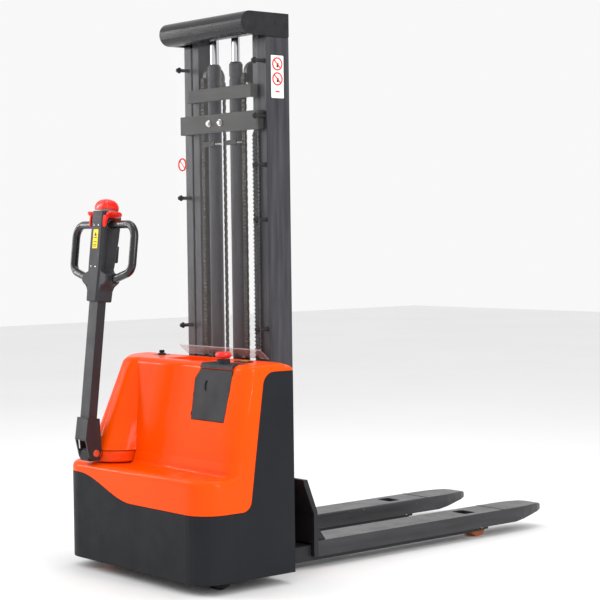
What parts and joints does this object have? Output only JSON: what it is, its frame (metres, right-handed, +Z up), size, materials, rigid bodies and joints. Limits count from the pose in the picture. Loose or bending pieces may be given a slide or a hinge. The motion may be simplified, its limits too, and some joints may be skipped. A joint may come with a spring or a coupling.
{
  "type": "walkie stacker",
  "caption": "Pedestrian-operated electric stacker with a two-stage lifting mast, straddling support legs, fork carriage and a steering tiller offset to one side.",
  "frame": {"origin": "on the floor, under the middle of the bounding box", "axes": "+Z up, +Y towards the fork tips, +X to the side away from the tiller"},
  "size_m": [0.8214, 1.755, 1.848],
  "materials": {
    "orange": "glossy",
    "dark": "satin",
    "mast": "satin",
    "tie": "satin",
    "steel": "brushed",
    "black": "satin",
    "head": "matte",
    "red": "glossy",
    "clear": "clear",
    "tread": "satin",
    "fork": "satin",
    "chain": "oiled",
    "bolt": "bright",
    "battery": "matte",
    "orange_metal": "satin"
  },
  "bodies": {
    "truck": {"chassis_skirt": "dark", "main_cover": "orange", "console_panel": "black", "key_switch": "black", "battery_gauge": "black", "chassis_frame": "dark", "battery_pack": "battery", "hydraulic_power_pack": "steel", "motor_controller": "steel", "support_leg_left": "dark", "support_leg_right": "dark", "load_axle_left": "steel", "load_axle_right": "steel", "outer_mast_left": "mast", "outer_mast_right": "mast", "lift_cylinder_left": "mast", "lift_cylinder_right": "mast", "chain_fixed_left": "chain", "chain_fixed_right": "chain", "mast_cross_tie": "tie", "mast_base_tie": "dark", "guard_panel": "clear"},
    "inner_mast": {"inner_mast_left": "mast", "inner_mast_right": "mast", "mast_head_beam": "mast", "inner_cross_tie": "tie", "lift_rod_left": "steel", "lift_rod_right": "steel", "chain_moving_left": "chain", "chain_moving_right": "chain", "mast_roller_left": "steel", "mast_roller_right": "steel"},
    "pulley_left": {"chain_pulley_left": "steel"},
    "pulley_right": {"chain_pulley_right": "steel"},
    "carriage": {"carriage_frame": "dark", "fork_left": "fork", "fork_right": "fork", "carriage_roller_left": "steel", "carriage_roller_right": "steel"},
    "steer_head": {"turntable": "orange_metal", "drive_gearbox": "dark", "drive_motor": "steel", "tiller_clevis": "dark"},
    "drive_wheel": {"drive_wheel": "tread"},
    "tiller": {"tiller_arm": "dark", "tiller_boot": "head", "tiller_head": "head", "handle_left": "black", "handle_right": "black", "tiller_pivot_bolt": "bolt"},
    "belly_switch": {"belly_switch": "red"},
    "thumb_throttle": {"thumb_throttle": "red"},
    "lift_rocker": {"lift_rocker": "black"},
    "service_hatch": {"service_hatch": "black"},
    "estop_button": {"estop_button": "red"},
    "ignition_key": {"ignition_key": "black"},
    "caster_fork": {"caster_fork": "steel"},
    "caster_wheel": {"caster_wheel": "tread"},
    "load_wheel_left": {"load_wheel_left": "tread"},
    "load_wheel_right": {"load_wheel_right": "tread"}
  },
  "joints": [
    {"name": "steer_turn", "type": "hinge", "parent": "truck", "child": "steer_head", "pos_m": [-0.22234, -0.72693, 0.366], "axis": [0, 0, 1], "range_deg": [-60, 60]},
    {"name": "drive_roll", "type": "hinge", "parent": "steer_head", "child": "drive_wheel", "pos_m": [-0.21634, -0.72693, 0.105], "axis": [1, 0, 0], "continuous": true},
    {"name": "tiller_tilt", "type": "hinge", "parent": "steer_head", "child": "tiller", "pos_m": [-0.22234, -0.83793, 0.397], "axis": [1, 0, 0], "range_deg": [0, 75], "stiffness_Nm_per_rad": 60, "springref_deg": -20.05},
    {"name": "belly_press", "type": "slide", "parent": "tiller", "child": "belly_switch", "axis": [0, -0.1132, -0.9936], "range_m": [0, 0.0025], "stiffness_N_per_m": 2500, "springref_m": -0.002},
    {"name": "throttle_turn", "type": "hinge", "parent": "tiller", "child": "thumb_throttle", "pos_m": [-0.22234, -0.75257, 1.19044], "axis": [1, 0, 0], "range_deg": [-20, 20], "stiffness_Nm_per_rad": 0.6},
    {"name": "rocker_tip", "type": "hinge", "parent": "tiller", "child": "lift_rocker", "pos_m": [-0.22234, -0.73129, 1.05918], "axis": [1, 0, 0], "range_deg": [-6, 6], "stiffness_Nm_per_rad": 0.6},
    {"name": "mast_lift", "type": "slide", "parent": "truck", "child": "inner_mast", "axis": [0, 0, 1], "range_m": [0, 1.18]},
    {"name": "carriage_lift", "type": "slide", "parent": "inner_mast", "child": "carriage", "axis": [0, 0, 1], "range_m": [0, 1.18]},
    {"name": "pulley_roll_left", "type": "hinge", "parent": "inner_mast", "child": "pulley_left", "pos_m": [-0.09934, -0.38893, 1.66], "axis": [1, 0, 0], "range_deg": [-5, 1459]},
    {"name": "pulley_roll_right", "type": "hinge", "parent": "inner_mast", "child": "pulley_right", "pos_m": [0.12466, -0.38893, 1.66], "axis": [1, 0, 0], "range_deg": [-5, 1459]},
    {"name": "caster_swivel", "type": "hinge", "parent": "truck", "child": "caster_fork", "pos_m": [0.31666, -0.73194, 0.1092], "axis": [0, 0, 1], "continuous": true},
    {"name": "caster_roll", "type": "hinge", "parent": "caster_fork", "child": "caster_wheel", "pos_m": [0.31666, -0.71393, 0.05], "axis": [1, 0, 0], "continuous": true},
    {"name": "load_roll_left", "type": "hinge", "parent": "truck", "child": "load_wheel_left", "pos_m": [-0.18804, 0.54166, 0.04], "axis": [1, 0, 0], "continuous": true},
    {"name": "load_roll_right", "type": "hinge", "parent": "truck", "child": "load_wheel_right", "pos_m": [0.21336, 0.54166, 0.04], "axis": [1, 0, 0], "continuous": true},
    {"name": "hatch_swing", "type": "hinge", "parent": "truck", "child": "service_hatch", "pos_m": [0.15616, -0.68707, 0.59632], "axis": [0, -0.1744, -0.9847], "range_deg": [0, 110]},
    {"name": "estop_press", "type": "slide", "parent": "truck", "child": "estop_button", "axis": [0, 0, -1], "range_m": [0, 0.004]},
    {"name": "key_turn", "type": "hinge", "parent": "truck", "child": "ignition_key", "pos_m": [-0.22234, -0.53894, 0.71], "axis": [0, 0, -1], "range_deg": [0, 90]}
  ],
  "couplings": [
    {"joint": "carriage_lift", "follows": "mast_lift", "ratio": 1},
    {"joint": "pulley_roll_left", "follows": "mast_lift", "rad_per_m": 21.505},
    {"joint": "pulley_roll_right", "follows": "mast_lift", "rad_per_m": 21.505}
  ]
}
